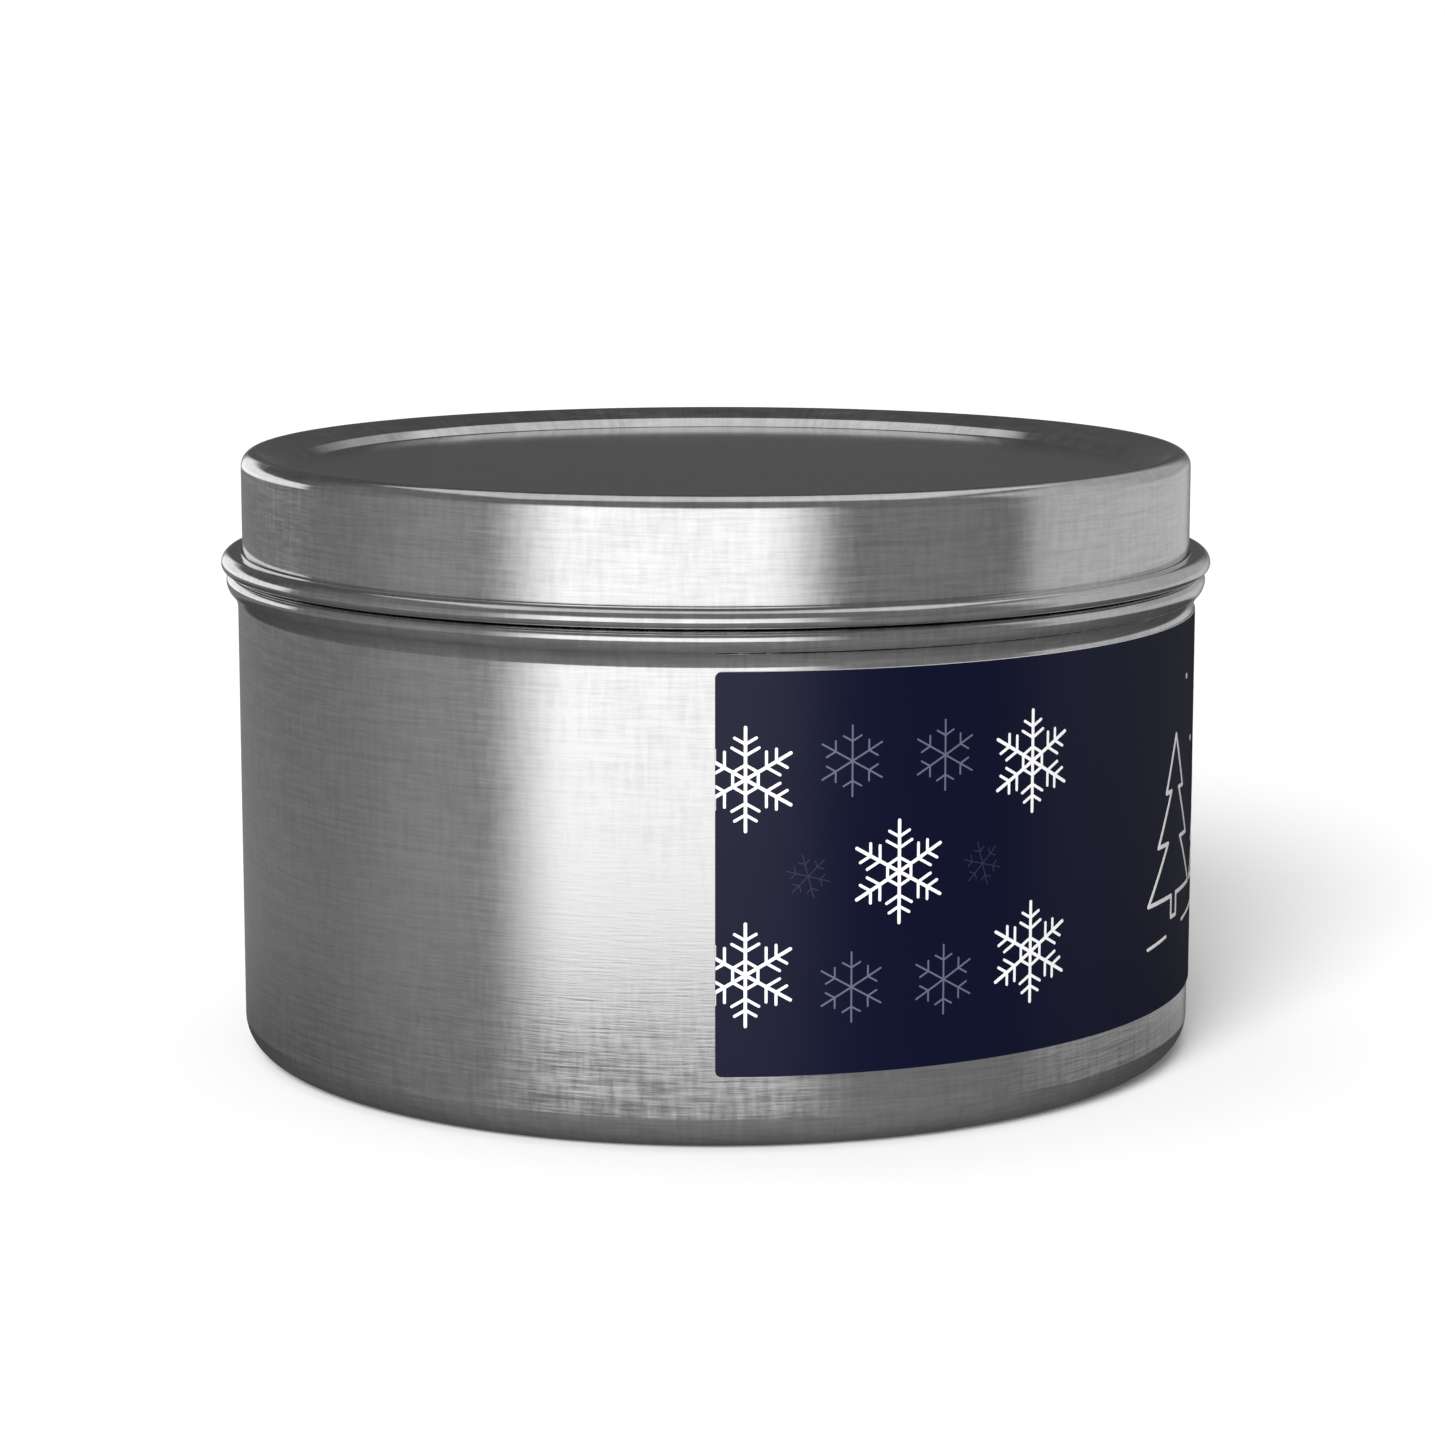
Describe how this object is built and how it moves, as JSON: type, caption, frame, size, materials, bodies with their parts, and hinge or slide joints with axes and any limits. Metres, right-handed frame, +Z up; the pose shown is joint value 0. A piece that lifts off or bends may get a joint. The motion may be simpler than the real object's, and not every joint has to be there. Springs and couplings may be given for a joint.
{
  "type": "candle tin",
  "caption": "Round slip-lid steel candle tin with a sunken lid panel, rolled hem, bead, wrap-round label, poured wax and a braided wick.",
  "frame": {"origin": "centre of the standing ring's plane, on the tin's axis, at the lowest point", "axes": "+Z up along the tin's axis, out through the lid; -Y is the side where the wrap-round label begins; +X is the side it runs towards"},
  "size_m": [0.0826, 0.0826, 0.0501],
  "materials": {
    "cup_steel": "satin",
    "lid_steel": "satin",
    "label_film": "gloss",
    "label_paper": "matte",
    "wax": "satin",
    "wick_cotton": "matte",
    "foot_plate": "satin",
    "adhesive_foam": "matte"
  },
  "bodies": {
    "tin": {"tin_body": "cup_steel", "side_label": "label_film", "base_label": "label_paper", "wax_fill": "wax", "wick": "wick_cotton", "wick_foot": "foot_plate", "wick_sticker": "adhesive_foam"},
    "lid": {"lid": "lid_steel"}
  },
  "joints": [
    {"name": "lid_lift", "type": "slide", "parent": "tin", "child": "lid", "axis": [0, 0, 1], "range_m": [0, 0.06]}
  ]
}
